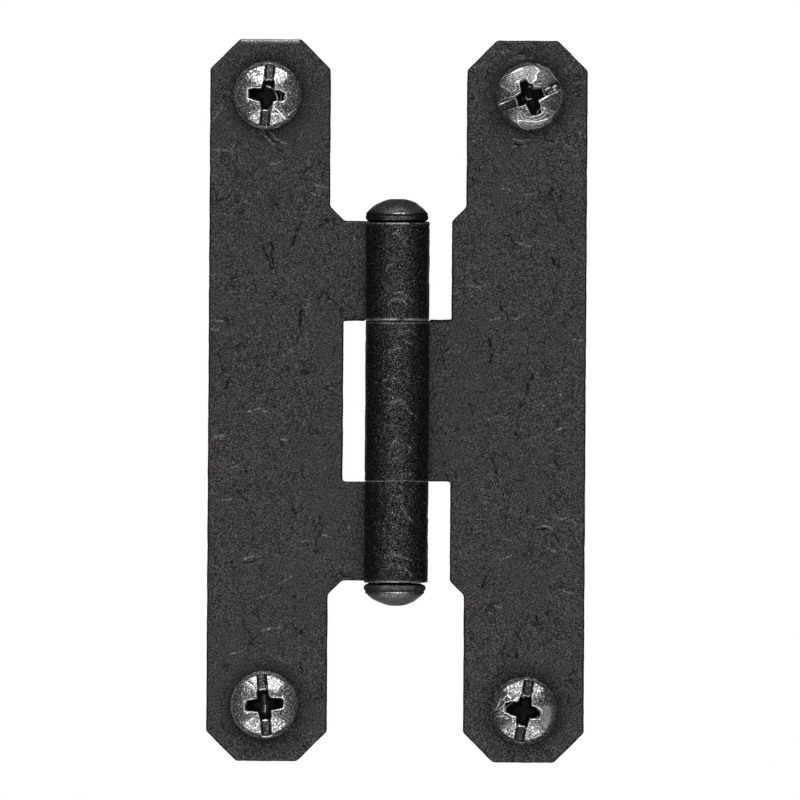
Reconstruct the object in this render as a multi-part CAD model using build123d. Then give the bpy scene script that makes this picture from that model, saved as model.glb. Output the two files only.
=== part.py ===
from build123d import *
import math
import os

# A cabinet door hinge in the shape of a letter H, rolled from rough black
# sheet iron, with its four wood screws. Two leaves lie flat on the frame and
# on the door, and their rolled knuckles turn on one headed pin.
#
# Millimetres. Seen from the room, +X is to the right and +Z up, and the room
# is on the -Y side. The origin is on the mounting plane, which is the back of
# both leaves, behind the pin's axis and halfway up the pin.

# Sheet blank of each leaf
sheet_thickness = 1.9
leaf_height = 88.9
column_width = 14.9
end_chamfer = 3.7
shoulder_step = 1.75
barrel_gap = 2.65
notch_radius = 0.4
edge_ease = 0.2

# Barrel of three rolled knuckles
pin_diameter = 4.0
bore_clearance = 0.05
barrel_length = 44.3
middle_knuckle_length = 19.7
knuckle_gap = 0.14
seam_gap = 0.15

# Button at each end of the pin, the upper one forged on, the lower pressed on
button_diameter = 7.75
button_bevel = 0.5
button_band_height = 0.45
button_dome_height = 1.7
pin_end_play = 0.3
spigot_diameter = 2.4
spigot_length = 1.5
socket_clearance = 0.01
socket_end_clearance = 0.1

# Pan head wood screw with a slot and a cross recess
screw_diameter = 4.17
screw_neck_diameter = 3.6
screw_neck_reach = 0.3
screw_length = 15.9
screw_point_length = 3.6
screw_point_diameter = 0.3
screw_head_diameter = 8.35
screw_rim_height = 1.1
screw_dome_height = 1.5
slot_width = 1.3
slot_rim_cut = 0.1
cross_span = 5.2
cross_foot_span = 2.6
cross_wing_width = 1.2
cross_depth = 2.0
cross_centre_diameter = 3.0
cross_point_depth = 2.4

# Screw holes
hole_clearance = 0.4
hole_edge_distance = 7.25
hole_end_distance = 6.75

# Places that follow from the sizes above
bore_radius = pin_diameter / 2 + bore_clearance
knuckle_radius = bore_radius + sheet_thickness
wide_edge = knuckle_radius + barrel_gap
column_inner = wide_edge + shoulder_step
column_outer = column_inner + column_width
half_height = leaf_height / 2
half_barrel = barrel_length / 2
half_middle = middle_knuckle_length / 2
hole_radius = screw_diameter / 2 + hole_clearance
hole_x = column_outer - hole_edge_distance
hole_z = half_height - hole_end_distance
lower_button_z = -half_barrel - pin_end_play
button_height = button_bevel + button_band_height + button_dome_height
screw_crown = screw_rim_height + screw_dome_height

LEFT, RIGHT = -1, 1
LOWER, UPPER = -1, 1

# Each screw: the side and end of the hinge that it holds, the turn of its slot
# from upright in degrees, clockwise as seen from the room, and where it sits in
# its hole, rightwards and upwards, as shares of the hole's clearance.
screws = {
    "upper_left_screw": (LEFT, UPPER, 5, -0.5, -0.5),
    "lower_left_screw": (LEFT, LOWER, -5.5, -0.3, 0.5),
    "upper_right_screw": (RIGHT, UPPER, 70, 0.3, -0.3),
    "lower_right_screw": (RIGHT, LOWER, 8, -0.3, -0.9),
}


def leaf_blank(side, knuckles):
    """The outline of one leaf, with a tab to the pin for each of its knuckles."""
    upper = [
        (column_outer, half_height - end_chamfer),
        (column_outer - end_chamfer, half_height),
        (column_inner + end_chamfer, half_height),
        (column_inner, half_height - end_chamfer),
        (column_inner, half_barrel + shoulder_step),
        (wide_edge, half_barrel),
    ]
    lower = [(x, -z) for x, z in reversed(upper)]
    outline = [(side * x, z) for x, z in upper + lower]
    blank = make_face(Polyline(*outline, close=True))
    for low, high in knuckles:
        tab = Rectangle(column_inner, high - low)
        blank += Pos(side * column_inner / 2, (low + high) / 2) * tab
    notch_corners = [
        corner
        for corner in blank.vertices()
        if abs(corner.X) > knuckle_radius and abs(corner.Y) < half_barrel - edge_ease
    ]
    return fillet(notch_corners, notch_radius)


def leaf_plate(blank):
    """The blank's thickness, with its front edges eased by the hammer."""
    plate = extrude(Plane.XZ * blank, amount=sheet_thickness)
    front = plate.faces().sort_by(Axis.Y)[0]
    rim = [edge for edge in front.edges() if abs(edge.center().X) > edge_ease]
    return chamfer(rim, edge_ease)


def rolled_knuckle(side, low, high):
    """The tab's sheet curled round the pin: it leaves the back plane behind the
    pin, runs round the far side and the front, and ends in a square cut just
    short of its own tab."""
    seam_angle = math.asin((bore_radius - seam_gap) / knuckle_radius)
    reach = 2 * knuckle_radius
    opening = Polyline(
        (0, 0),
        (0, reach),
        (side * reach, reach),
        (side * reach, reach * math.tan(seam_angle)),
        close=True,
    )
    curl = Circle(knuckle_radius) - Circle(bore_radius) - make_face(opening)
    return Pos(0, -knuckle_radius, low) * extrude(curl, amount=high - low)


def leaf(side, knuckles):
    """One leaf of the hinge, cut, punched and rolled from one piece of sheet."""
    body = leaf_plate(leaf_blank(side, knuckles))
    for low, high in knuckles:
        body += rolled_knuckle(side, low, high)
    for end in (LOWER, UPPER):
        punch = Rot(90, 0, 0) * Cylinder(hole_radius, 4 * sheet_thickness)
        body -= Pos(side * hole_x, 0, end * hole_z) * punch
    return body


def pin_button():
    """A domed button on a short band, bevelled under it, seat at Z zero."""
    radius = button_diameter / 2
    band_top = button_bevel + button_band_height
    profile = Polyline(
        (0, button_height),
        (0, 0),
        (radius - button_bevel, 0),
        (radius, button_bevel),
        (radius, band_top),
    )
    dome = TangentArc((0, button_height), (radius, band_top), tangent=(1, 0))
    return revolve(Plane.XZ * make_face(profile + dome), Axis.Z)


def standing_rod(diameter, bottom, top):
    """A round rod on the Z axis from one height to another."""
    middle = Pos(0, 0, (bottom + top) / 2)
    return middle * Cylinder(diameter / 2, top - bottom)


def hinge_pin():
    """The pin with its forged upper button, and a spigot at its lower end."""
    pin = standing_rod(pin_diameter, lower_button_z, half_barrel)
    pin += Pos(0, 0, half_barrel) * pin_button()
    pin += standing_rod(spigot_diameter, lower_button_z - spigot_length, lower_button_z)
    return Pos(0, -knuckle_radius, 0) * pin


def lower_pin_button():
    """The loose lower button, bored for the pin's spigot."""
    socket_depth = spigot_length + socket_end_clearance
    socket_diameter = spigot_diameter + 2 * socket_clearance
    button = pin_button() - standing_rod(socket_diameter, 0, socket_depth)
    return Pos(0, -knuckle_radius, lower_button_z) * Rot(180, 0, 0) * button


def drive_recess():
    """The slot across the whole head and the cross in its middle, crown at Z
    zero. Two of the cross's four wings lie in the slot."""
    slot_depth = screw_dome_height + slot_rim_cut
    slot = Pos(0, 0, -slot_depth / 2) * Box(slot_width, 2 * screw_head_diameter, slot_depth)
    wing_outline = Polyline(
        (-cross_span / 2, 0),
        (cross_span / 2, 0),
        (cross_foot_span / 2, -cross_depth),
        (-cross_foot_span / 2, -cross_depth),
        close=True,
    )
    wing = extrude(Plane.XZ * make_face(wing_outline), amount=cross_wing_width / 2, both=True)
    centre = Cone(0, cross_centre_diameter / 2, cross_point_depth)
    return slot + wing + Rot(0, 0, 90) * wing + Pos(0, 0, -cross_point_depth / 2) * centre


def wood_screw():
    """A screw standing on its point, with the underside of its head at Z zero
    and its slot along Y. The body is the outer size of its thread."""
    head_radius = screw_head_diameter / 2
    neck_end = -sheet_thickness - screw_neck_reach
    thread_end = screw_point_length - screw_length
    profile = Polyline(
        (0, screw_crown),
        (0, -screw_length),
        (screw_point_diameter / 2, -screw_length),
        (screw_diameter / 2, thread_end),
        (screw_diameter / 2, neck_end),
        (screw_neck_diameter / 2, neck_end),
        (screw_neck_diameter / 2, 0),
        (head_radius, 0),
        (head_radius, screw_rim_height),
    )
    dome = TangentArc((0, screw_crown), (head_radius, screw_rim_height), tangent=(1, 0))
    blank = revolve(Plane.XZ * make_face(profile + dome), Axis.Z)
    return blank - Pos(0, 0, screw_crown) * drive_recess()


def seated_screw(side, end, slot_turn, share_right, share_up):
    """A screw driven home, its head against the front of the leaf."""
    x = side * hole_x + share_right * hole_clearance
    z = end * hole_z + share_up * hole_clearance
    seat = Plane(origin=(x, -sheet_thickness, z), x_dir=(1, 0, 0), z_dir=(0, -1, 0))
    return seat.location * Rot(0, 0, -slot_turn) * wood_screw()


outer_knuckles = [
    (half_middle + knuckle_gap, half_barrel),
    (-half_barrel, -half_middle - knuckle_gap),
]
middle_knuckle = [(-half_middle, half_middle)]

nodes = {
    "left_leaf": leaf(LEFT, outer_knuckles),
    "right_leaf": leaf(RIGHT, middle_knuckle),
    "hinge_pin": hinge_pin(),
    "lower_pin_button": lower_pin_button(),
}
for name, setting in screws.items():
    nodes[name] = seated_screw(*setting)

os.makedirs("parts", exist_ok=True)
for name, shape in nodes.items():
    export_step(shape, f"parts/{name}.step")
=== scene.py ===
import math

import bmesh
import bpy
import numpy as np
from mathutils import Matrix, Vector, kdtree, noise
from mathutils.geometry import delaunay_2d_cdt


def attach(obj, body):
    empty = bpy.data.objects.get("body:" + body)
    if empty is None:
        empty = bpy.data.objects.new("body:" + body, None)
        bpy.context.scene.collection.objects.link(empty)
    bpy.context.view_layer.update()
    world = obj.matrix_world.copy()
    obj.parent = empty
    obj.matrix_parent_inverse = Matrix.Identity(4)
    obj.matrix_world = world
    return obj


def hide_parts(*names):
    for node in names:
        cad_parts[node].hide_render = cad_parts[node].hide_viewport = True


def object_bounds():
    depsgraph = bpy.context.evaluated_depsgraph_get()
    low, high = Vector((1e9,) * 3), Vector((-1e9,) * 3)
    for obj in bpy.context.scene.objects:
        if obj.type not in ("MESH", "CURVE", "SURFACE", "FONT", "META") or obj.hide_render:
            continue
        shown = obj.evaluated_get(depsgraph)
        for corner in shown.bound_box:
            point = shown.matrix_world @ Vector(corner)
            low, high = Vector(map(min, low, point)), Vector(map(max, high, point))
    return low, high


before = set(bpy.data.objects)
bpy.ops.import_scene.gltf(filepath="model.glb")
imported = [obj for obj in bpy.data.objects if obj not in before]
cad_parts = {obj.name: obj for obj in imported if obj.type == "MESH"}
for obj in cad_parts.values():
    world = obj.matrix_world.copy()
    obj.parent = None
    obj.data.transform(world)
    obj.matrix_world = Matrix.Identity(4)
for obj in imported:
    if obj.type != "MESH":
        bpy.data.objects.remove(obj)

cad_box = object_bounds()

# The two leaves.
# Rough sheet iron 1.9 mm thick, sheared to a column with a tab for each knuckle,
# hammered, and blacked. The tabs are rolled round the pin, open side to the leaf.
MM = 0.001
sheet_thickness = 1.9
knuckle_radius = 3.95
curl_angle = math.radians(298.75)
curl_length = knuckle_radius * curl_angle
column_outer, column_inner, wide_edge = 23.25, 8.35, 6.6
half_height, half_barrel, half_middle = 44.45, 22.15, 9.85
hole_x, hole_z, hole_radius = 16.0, 37.7, 2.485
corner_cut, shoulder = 3.7, 1.75


def lattice(low, high, gap):
    """Points in staggered rows over a rectangle, gap apart."""
    rows = []
    for number, z in enumerate(np.arange(low[1], high[1], gap * 0.866)):
        x = np.arange(low[0] + (number % 2) * gap / 2, high[0], gap)
        rows.append(np.column_stack((x, np.full(len(x), z))))
    return np.vstack(rows)


def sides(corners):
    return list(zip(corners, corners[1:] + corners[:1]))


def inside(points, walls):
    """Which of the points lie within closed loops of walls, each from one end to the other."""
    found = np.zeros(len(points), bool)
    px, pz = points[:, 0], points[:, 1]
    for (ax, az), (bx, bz) in walls:
        if az != bz:
            crosses = (az > pz) != (bz > pz)
            found ^= crosses & (px < (bx - ax) * (pz - az) / (bz - az) + ax)
    return found


def along(corners, step):
    """Evenly spaced points round a closed polygon."""
    ring = np.array(corners + corners[:1])
    lengths = np.hypot(*np.diff(ring, axis=0).T)
    run = np.concatenate(([0], np.cumsum(lengths)))
    places = np.linspace(0, run[-1], int(run[-1] / step), endpoint=False)
    return np.column_stack([np.interp(places, run, ring[:, i]) for i in (0, 1)])


def inward(loop):
    """Unit vectors across a loop that runs against the clock, towards its inside."""
    ahead = np.roll(loop, -1, 0) - np.roll(loop, 1, 0)
    ahead /= np.hypot(*ahead.T)[:, None]
    return np.column_stack((-ahead[:, 1], ahead[:, 0]))


def turns_left(corners):
    """The same corners, running against the clock."""
    area = sum(a[0] * b[1] - b[0] * a[1] for a, b in sides(corners))
    return corners if area > 0 else corners[::-1]


def triangles(loops, inner_points):
    """Triangles between an outer loop, the holes in it and the points within."""
    points = [Vector(p) for loop in loops for p in loop] + [Vector(p) for p in inner_points]
    edges, walls, start = [], [], 0
    for loop in loops:
        edges += [(start + i, start + (i + 1) % len(loop)) for i in range(len(loop))]
        walls += list(zip(loop.tolist(), np.roll(loop, -1, 0).tolist()))
        start += len(loop)
    spots, _, faces, origins, _, _ = delaunay_2d_cdt(points, edges, [], 0, 1e-7, True)
    place = {old: new for new, olds in enumerate(origins) for old in olds}
    spots, faces = np.array([tuple(s) for s in spots]), np.array(faces)
    rim = [place[i] for i in range(start)]
    on_rim = np.zeros(len(spots), bool)
    on_rim[rim] = True
    doubtful = np.flatnonzero(on_rim[faces].all(1))
    kept = np.ones(len(faces), bool)
    kept[doubtful] = inside(spots[faces[doubtful]].mean(1), walls)
    return spots, faces[kept].tolist(), rim


def mesh_object(name, points, faces, values):
    """A mesh object from points in millimetres, with one number per point under each name."""
    mesh = bpy.data.meshes.new(name)
    mesh.from_pydata((np.asarray(points) * MM).tolist(), [], faces)
    for key, numbers in values.items():
        mesh.attributes.new(key, "FLOAT", "POINT").data.foreach_set(
            "value", np.asarray(numbers, dtype=np.float32))
    work = bmesh.new()
    work.from_mesh(mesh)
    bmesh.ops.recalc_face_normals(work, faces=work.faces)
    work.to_mesh(mesh)
    work.free()
    piece = bpy.data.objects.new(name, mesh)
    bpy.context.collection.objects.link(piece)
    return piece


def stroke_distance(points, line):
    """Distance of each point to a line through several places."""
    best = np.full(len(points), 1e9)
    for a, b in zip(line, line[1:]):
        a, b = np.array(a), np.array(b)
        share = unit(((points - a) @ (b - a)) / ((b - a) @ (b - a)))
        best = np.minimum(best, np.hypot(*(points - a - share[:, None] * (b - a)).T))
    return best


def rumple(points, size, seed):
    return np.array([noise.noise((u / size, v / size, seed)) for u, v in points])


def unit(value):
    """The value, kept from nought to one."""
    return np.clip(value, 0, 1)


def bell(distance, width):
    """One at no distance, and next to nothing from twice the width on."""
    return np.exp(-(distance / width) ** 2)


def nearest(points, places):
    """Distance from each point to the nearest of some places."""
    tree = kdtree.KDTree(len(places))
    for number, (x, z) in enumerate(places):
        tree.insert((x, z, 0), number)
    tree.balance()
    return np.array([tree.find((x, z, 0))[2] for x, z in points])


def forging_marks(flat, side, marks, seed):
    """Depth pressed in, painted shade in cracks and in the grooves under laps, and painted highlight
    on the laps' ridges. They are given across and up as seen from the room, and many small laps are added."""
    places = flat[:, (0, 2)]
    plate = np.flatnonzero((flat[:, 1] < -1.5) & (flat[:, 0] > 0.3))
    curl = np.flatnonzero((flat[:, 1] > -0.4) & (flat[:, 0] < 0.0))
    work = []
    for where, kind, lines in marks:
        for line in lines:
            if where == "plate":
                work.append((plate, [(side * x, z) for x, z in line], kind, 1.0))
            else:
                rolled = [(-knuckle_radius * (math.pi + math.asin(side * x / knuckle_radius)), z)
                          for x, z in line]
                work.append((curl, rolled, kind, 1.0))
    rng = np.random.default_rng(seed)
    small = ((plate, 60, (wide_edge, -half_height), (column_outer, half_height)),
             (curl, 30, (-knuckle_radius * 4.4, -half_barrel), (-knuckle_radius * 1.9, half_barrel)))
    for where, count, low, high in small:
        for _ in range(count):
            across, up = rng.uniform(low, high)
            radius, half_span = rng.uniform(0.5, 1.7), rng.uniform(18, 45)
            middle = rng.choice((90.0, 270.0)) + rng.normal(0, 32)
            turn = np.radians(np.linspace(middle - half_span, middle + half_span, 6))
            line = [(across + radius * math.cos(t), up + radius * math.sin(t)) for t in turn]
            work.append((where, line, "fold", rng.uniform(0.1, 0.35)))

    reach, shake, under_lip = 0.6, 0.11, (0.0, 0.17)
    crack_depth, crack_width = 0.13, 0.11
    lip_height, groove_depth, lap_width = 0.05, 0.07, 0.12
    pressed, dark, bare_and_painted_highlight = np.zeros((3, len(flat)))
    for number, (where, line, kind, strength) in enumerate(work):
        spots = places[where]
        near = where[((spots > np.min(line, 0) - reach) & (spots < np.max(line, 0) + reach)).all(1)]
        if len(near) == 0:
            continue
        spots = places[near]
        spots = spots + shake * np.column_stack(
            (rumple(spots, 0.5, number + 0.3), rumple(spots, 0.5, number + 0.7)))
        away = stroke_distance(spots, line)
        broken = unit(0.75 + 1.4 * rumple(spots, 0.45, number + 0.1)) * strength
        if kind == "crack":
            # Painted shade darkens the crack
            pressed[near] += crack_depth * bell(away, crack_width) * broken
            dark[near] = np.maximum(dark[near], unit(1.4 * bell(away, 0.09) * broken))
            continue
        under = stroke_distance(spots + under_lip, line)
        # Painted shade in the groove under the lap, and painted highlight on its ridge
        pressed[near] += (groove_depth * bell(under, lap_width) - lip_height * bell(away, lap_width)) * broken
        dark[near] = np.maximum(dark[near], 0.5 * bell(under, 0.11) * broken)
        bare_and_painted_highlight[near] = np.maximum(bare_and_painted_highlight[near], 0.55 * bell(away, 0.1) * broken)
    return pressed, dark, bare_and_painted_highlight


def flat_blank(name, side, knuckles, screw_spots, marks, seed):
    """One leaf before rolling, laid out flat: first coordinate outwards from the
    line behind the pin, tabs on its minus side, second the depth, third upwards."""
    head = [
        (column_outer, half_height - corner_cut),
        (column_outer - corner_cut, half_height),
        (column_inner + corner_cut, half_height),
        (column_inner, half_height - corner_cut),
        (column_inner, half_barrel + shoulder),
        (wide_edge, half_barrel),
    ]
    tabs = []
    for low, high in knuckles:
        tabs += [(wide_edge, high), (-curl_length, high), (-curl_length, low), (wide_edge, low)]
    foot = [(s, -z) for s, z in head[::-1]]
    corners = turns_left(list(dict.fromkeys(head + tabs + foot)))
    outline = along(corners, 0.1)
    for _ in range(5):
        outline = (np.roll(outline, 1, 0) + outline + np.roll(outline, -1, 0)) / 3
    outline = outline[::2]
    wave = np.array([
        noise.noise((s * 0.3, z * 0.3, 3.1)) * 0.6 + noise.noise((s * 1.1, z * 1.1, 7.7)) * 0.4
        for s, z in outline])
    # The shears left the plate's edges uneven, up to this deep, and the tabs' hardly so
    deepest = 0.13 * np.clip(outline[:, 0] / 5, 0.02, 0.5)
    outline = outline + inward(outline) * (unit(wave + 0.35) * deepest)[:, None]
    loops, pulls = [outline], [inward(outline)]
    for s, z in screw_spots:
        turn = np.linspace(0, 2 * math.pi, 60, endpoint=False)
        spokes = np.column_stack((np.cos(turn), np.sin(turn)))
        loops.append(np.array((s, z)) + hole_radius * spokes)
        pulls.append(spokes)

    # Inset on the plate, inset on the tabs, and depth of each ring of the sheared edge
    rings = [(0.20, 0.08, -sheet_thickness), (0.11, 0.03, -1.87), (0.04, 0.0, -1.81), (0.0, 0.0, -1.7),
             (0.0, 0.0, -0.95), (0.0, 0.0, -0.12), (0.05, 0.025, -0.04), (0.14, 0.09, 0.0)]
    on_plate = [unit(loop[:, 0] / 1.5)[:, None] for loop in loops]

    def ring(number):
        plate, tab, _ = rings[number]
        return [loop + pull * (tab + (plate - tab) * share)
                for loop, pull, share in zip(loops, pulls, on_plate)]

    def sheet(number, plate_gap, tab_gap):
        """The triangles of the front or the back, finer where it is seen."""
        areas = ((plate_gap, (0.0, -half_height), (column_outer, half_height)),
                 (tab_gap, (-curl_length, -half_barrel), (0.0, half_barrel)))
        kept = []
        for gap, low, high in areas:
            points = lattice(low, high, gap)
            points = points[inside(points, sides(corners))]
            kept.append(points[nearest(points, np.vstack(loops)) > 0.22 + gap * 0.45])
        if number > 0:
            collars = np.vstack([loop + pull * 0.34 for loop, pull in zip(loops, pulls)])
            kept.append(collars[collars[:, 0] > 1.5])
        return triangles(ring(number), np.vstack(kept))

    front, front_faces, front_rim = sheet(0, 0.165, 0.6)
    back, back_faces, back_rim = sheet(len(rings) - 1, 0.9, 0.2)

    def at_depth(places, depth):
        return np.column_stack((places[:, 0], np.full(len(places), depth), places[:, 1]))

    flat = [at_depth(front, -sheet_thickness)]
    ring_ids, faces, count = [front_rim], [tuple(f) for f in front_faces], len(front)
    for number in range(1, len(rings) - 1):
        edge = np.vstack(ring(number))
        flat.append(at_depth(edge, rings[number][2]))
        ring_ids.append(list(range(count, count + len(edge))))
        count += len(edge)
    flat.append(at_depth(back, 0.0))
    ring_ids.append([count + i for i in back_rim])
    faces += [tuple(count + i for i in f) for f in back_faces]
    start = 0
    for loop in loops:
        for upper, lower in zip(ring_ids, ring_ids[1:]):
            for i in range(len(loop)):
                a, b = start + i, start + (i + 1) % len(loop)
                faces.append((upper[a], upper[b], lower[b], lower[a]))
        start += len(loop)
    flat = np.vstack(flat)

    s, depth, z = flat.T
    joint_open, joint_step, upper_drop, lower_drop = 0.06, 0.17, 0.19, 0.25
    joint_half = half_middle + 0.07
    at_joint = (s < -0.5) & (np.abs(np.abs(z) - half_middle) < 0.3)
    z[at_joint] -= (np.sign(z) * joint_open * unit(1 + depth / 0.5))[at_joint]
    # The edges that meet at the upper joint were cut a little wide beside the barrel
    beside_joint = (s > 3.97) & (s < 6.5) & (np.abs(z - half_middle) < 0.3)
    z[beside_joint] += side * joint_step
    # The roll runs a little askew: in front, the barrel's two ends come lower than at the tabs
    askew = unit((-s / knuckle_radius - 0.7) / 1.6)
    z -= askew * unit((np.abs(z) - 14) / 6) * np.where(z > 0, upper_drop, lower_drop)
    seen = np.where(depth < -1.5, unit((s - 0.2) / 1.5), np.where(depth > -0.1, -unit((0.5 - s) / 1.5), 0.0))
    pressed, dark, bare_and_painted_highlight = forging_marks(flat, side, marks, seed)
    # At each joint a painted highlight runs along the lower edge of the piece above, with a fainter one
    # just below the upper joint and one near each end of the barrel; painted shade darkens the piece below
    from_joint = np.where(z > 0, z - joint_half, z + joint_half)
    skin = (s < -0.5) & (depth > -0.1)
    glint_breakup = unit(0.8 + 1.2 * rumple(np.column_stack((s, z)), 0.8, 2.2))
    ends = np.abs(z) - half_barrel + np.where(z > 0, upper_drop, -lower_drop) * askew
    brighter = ((skin & (from_joint > -0.03), 3 * glint_breakup * bell(from_joint, 0.08)),
              (skin & (np.abs(from_joint + 0.42) < 0.11) & (z > 0), 0.6 * glint_breakup),
              (skin & (np.abs(ends + 0.17) < 0.1), 1.6 * (glint_breakup - 0.2)))
    for where, brightness in brighter:
        bare_and_painted_highlight = np.maximum(bare_and_painted_highlight, np.where(where, brightness, 0))
    # Painted shade just below each joint
    joint_shade = (s < -0.5) & (depth > -1.0) & (np.abs(from_joint + 0.1) < 0.13)
    near = nearest(flat[:, (0, 2)], outline)
    in_front = unit((-1.2 - depth) / 0.5)
    # Painted shade: a dark line along the plate's outline on the front
    edge_shade = np.where(s > -0.5, 0.9 * bell(near, 0.12) * in_front, 0)
    dark = np.maximum(np.maximum(dark, joint_shade), edge_shade)
    # Painted shade: a dark ring round each screw head on the front of the plate
    screw_shade = np.zeros(len(flat))
    for hs, hz in screw_spots:
        screw_shade = np.maximum(screw_shade, unit((6.3 - np.hypot(s - hs, z - hz)) / 2.2))
    screw_shade[(s < 0) | (depth >= -1.5)] = 0
    # Painted highlight along the left leaf's top edge above its upper screw
    top_edge_highlight = bell(z - half_height + 0.12, 0.25) * (side * s < 0) * (np.abs(s - 15.9) < 3.6)
    return mesh_object(name, flat, faces, {
        "seen": seen, "rim": np.exp(-near / 0.2) * (0.75 + 0.25 * in_front), "screw_shade": screw_shade,
        "rolled": unit(-s / 3), "pressed": pressed * MM, "dark": dark,
        "bare_and_painted_highlight": np.maximum(bare_and_painted_highlight, 1.5 * top_edge_highlight)})


socket_kinds = {"Geometry": "Geometry", "Material": "Material", "Vector": "Vector", "Centre": "Vector",
                "Around": "Int", "Rows": "Int"}


def new_tree(name, kind, inputs, outputs):
    """A node group and what it is given. Its sockets are numbers if not of a kind above."""
    tree = bpy.data.node_groups.new(name, kind)
    for way, sockets in (("INPUT", inputs), ("OUTPUT", outputs)):
        for key in sockets:
            tree.interface.new_socket(
                key, in_out=way, socket_type="NodeSocket" + socket_kinds.get(key, "Float"))
    return tree, tree.nodes.new("NodeGroupInput").outputs


def fill(tree, node, values):
    """Links a node's inputs from sockets or sets them to values."""
    for key, value in values.items():
        if isinstance(value, bpy.types.NodeSocket):
            tree.links.new(value, node.inputs[key])
        else:
            node.inputs[key].default_value = value
    return node


def give(tree, values):
    fill(tree, tree.nodes.new("NodeGroupOutput"), values)
    return tree


def add(tree, kind, values=None, **settings):
    """A node with its settings and its inputs."""
    made = tree.nodes.new(kind)
    for key, value in settings.items():
        setattr(made, key, value)
    return fill(tree, made, values or {})


def tree_of(values):
    """The tree that the sockets among these values belong to."""
    return next(value.id_data for value in values if isinstance(value, bpy.types.NodeSocket))


def sums(operation, *values):
    """The result of one sum on sockets or numbers."""
    made = add(tree_of(values), "ShaderNodeMath", dict(enumerate(values)), operation=operation)
    return made.outputs[0]


def plus(first, second):
    return sums("ADD", first, second)


def minus(first, second):
    return sums("SUBTRACT", first, second)


def times(first, second):
    return sums("MULTIPLY", first, second)


def over(first, second):
    return sums("DIVIDE", first, second)


def larger(first, second):
    return sums("MAXIMUM", first, second)


def vectors(operation, values):
    made = add(tree_of(values.values()), "ShaderNodeVectorMath", values, operation=operation)
    return made.outputs[0]


def ramp(value, low, high, first=0.0, last=1.0, kind="SMOOTHSTEP"):
    """Runs from first to last while the value runs from low to high."""
    return add(value.id_data, "ShaderNodeMapRange", {
        "Value": value, "From Min": low, "From Max": high, "To Min": first, "To Max": last},
        interpolation_type=kind).outputs[0]


skin_inputs = ("Dent Size", "Dent Depth", "Wrinkle Size", "Wrinkle Depth", "Pit Size", "Pit Depth", "Seed")


def hammer_tree():
    """How deep the seen skin is pressed in: broad dents, forging wrinkles and small pits."""
    tree, given = new_tree("hammered skin", "GeometryNodeTree", skin_inputs, ("Depth",))
    place = add(tree, "GeometryNodeInputPosition").outputs[0]

    def pattern(size, detail, rough, distortion, shift):
        return add(tree, "ShaderNodeTexNoise", {
            "Vector": place, "W": plus(given["Seed"], shift), "Scale": over(1.0, given[size]),
            "Detail": detail, "Roughness": rough, "Distortion": distortion}, noise_dimensions="4D").outputs[0]

    def named(name):
        return add(tree, "GeometryNodeInputNamedAttribute", {"Name": name}, data_type="FLOAT").outputs[0]

    from_fold = sums("ABSOLUTE", minus(pattern("Wrinkle Size", 2.0, 0.55, 1.2, 5.0), 0.5))
    creases = times(ramp(from_fold, 0.0, 0.05, 1.0, 0.0),
                    ramp(pattern("Dent Size", 0.0, 0.5, 0.0, 9.0), 0.46, 0.58))
    terrace = ramp(pattern("Wrinkle Size", 1.0, 0.5, 2.0, 13.0), 0.5, 0.54)
    creases = times(plus(creases, terrace), plus(times(named("rolled"), 0.4), 1.0))
    pits = ramp(pattern("Pit Size", 0.0, 0.5, 0.0, 2.0), 0.62, 0.8)
    dents = minus(pattern("Dent Size", 1.0, 0.4, 0.0, 0.0), 0.5)
    depth = times(dents, given["Dent Depth"])
    depth = plus(depth, times(creases, given["Wrinkle Depth"]))
    depth = plus(depth, times(pits, given["Pit Depth"]))
    depth = larger(plus(depth, named("pressed")), 0.0)
    return give(tree, {"Depth": times(depth, named("seen"))})


hammered_skin = hammer_tree()


def finish_tree(tree, geometry, material):
    """Smooth shading, then what every tree ends with."""
    smooth = add(tree, "GeometryNodeSetShadeSmooth", {"Geometry": geometry}).outputs[0]
    real = add(tree, "GeometryNodeRealizeInstances", {"Geometry": smooth}).outputs[0]
    dressed = add(tree, "GeometryNodeSetMaterial", {"Geometry": real, "Material": material}).outputs[0]
    return give(tree, {"Geometry": dressed})


def pressed_in(tree, given):
    """The depth of the hammered skin with the settings that this tree is given."""
    settings = {name: given[name] for name in skin_inputs}
    return add(tree, "GeometryNodeGroup", settings, node_tree=hammered_skin).outputs[0]


def rolled_leaf_tree():
    """Hammers the flat blank, then rolls its tabs round the pin."""
    tree, given = new_tree("rolled leaf", "GeometryNodeTree", (
        "Geometry", "Side", "Knuckle Radius", *skin_inputs, "Material"), ("Geometry",))
    place = add(tree, "GeometryNodeInputPosition").outputs[0]
    out, depth, up = add(tree, "ShaderNodeSeparateXYZ", {0: place}).outputs
    depth = plus(depth, pressed_in(tree, given))
    behind_pin = times(sums("MINIMUM", out, 0.0), -1.0)
    angle = over(behind_pin, given["Knuckle Radius"])
    radius = plus(given["Knuckle Radius"], depth)
    across = minus(larger(out, 0.0), times(sums("SINE", angle), radius))
    away = minus(times(sums("COSINE", angle), radius), given["Knuckle Radius"])
    place = add(tree, "ShaderNodeCombineXYZ", {0: times(across, given["Side"]), 1: away, 2: up})
    rolled = add(tree, "GeometryNodeSetPosition", {
        "Geometry": given["Geometry"], "Position": place.outputs[0]}).outputs[0]
    mirrored = sums("LESS_THAN", given["Side"], 0.0)
    outwards = add(tree, "GeometryNodeFlipFaces", {"Mesh": rolled, "Selection": mirrored}).outputs[0]
    return finish_tree(tree, outwards, given["Material"])


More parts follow.
